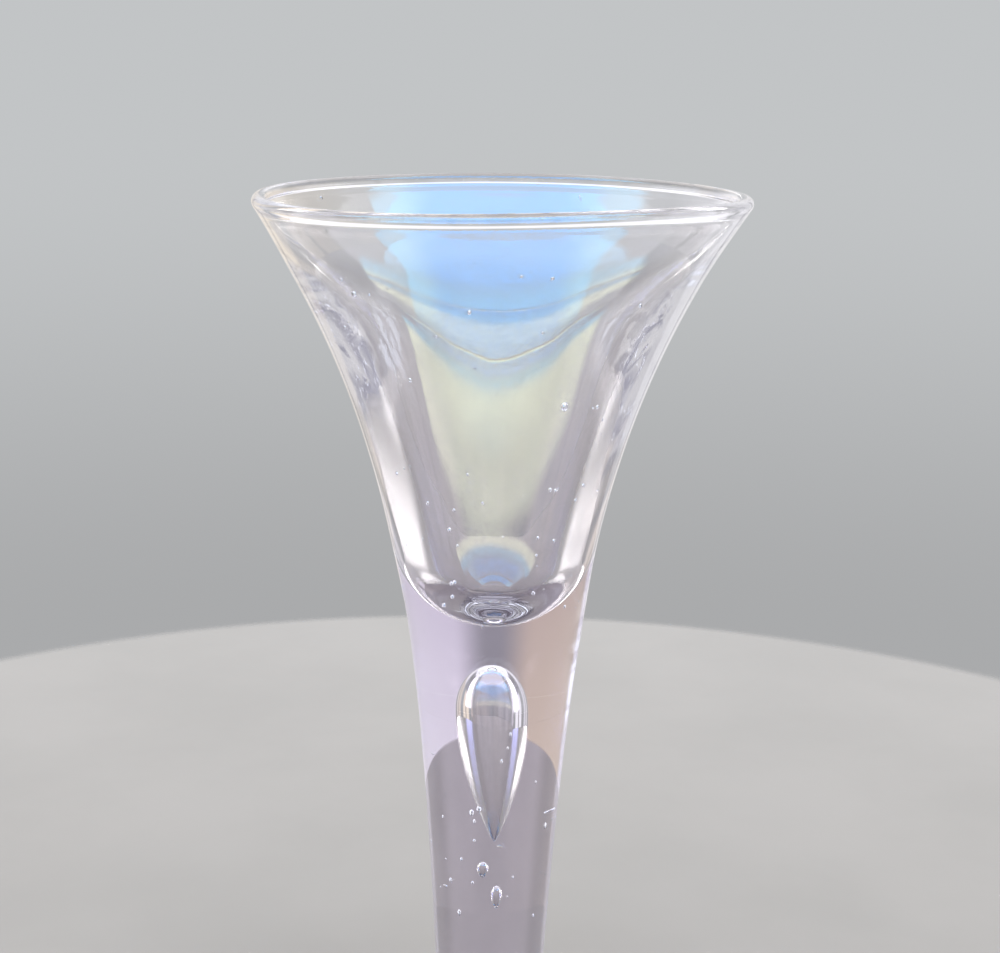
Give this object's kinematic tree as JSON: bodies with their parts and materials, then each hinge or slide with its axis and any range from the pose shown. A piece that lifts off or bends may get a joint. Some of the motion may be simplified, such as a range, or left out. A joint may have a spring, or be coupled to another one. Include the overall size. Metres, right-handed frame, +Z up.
{
  "type": "wine goblet",
  "caption": "Antique trumpet-bowl wine goblet of clear lead glass on a thick drawn stem with a trapped air tear, standing on a wide conical foot.",
  "frame": {"origin": "centre of the foot's resting plane, under the glass", "axes": "+Z up along the glass's axis, towards the rim"},
  "size_m": [0.08, 0.08, 0.171],
  "materials": {
    "bowl_glass": "clear lead glass, polished",
    "stem_glass": "clear lead glass, faint grey-lilac cast, seed bubbles",
    "foot_glass": "clear lead glass, worn where it rests",
    "pontil_glass": "snapped, rough glass"
  },
  "bodies": {
    "root": {"trumpet_bowl": "bowl_glass", "drawn_stem": "stem_glass", "foot": "foot_glass", "pontil_scar": "pontil_glass"}
  },
  "joints": []
}
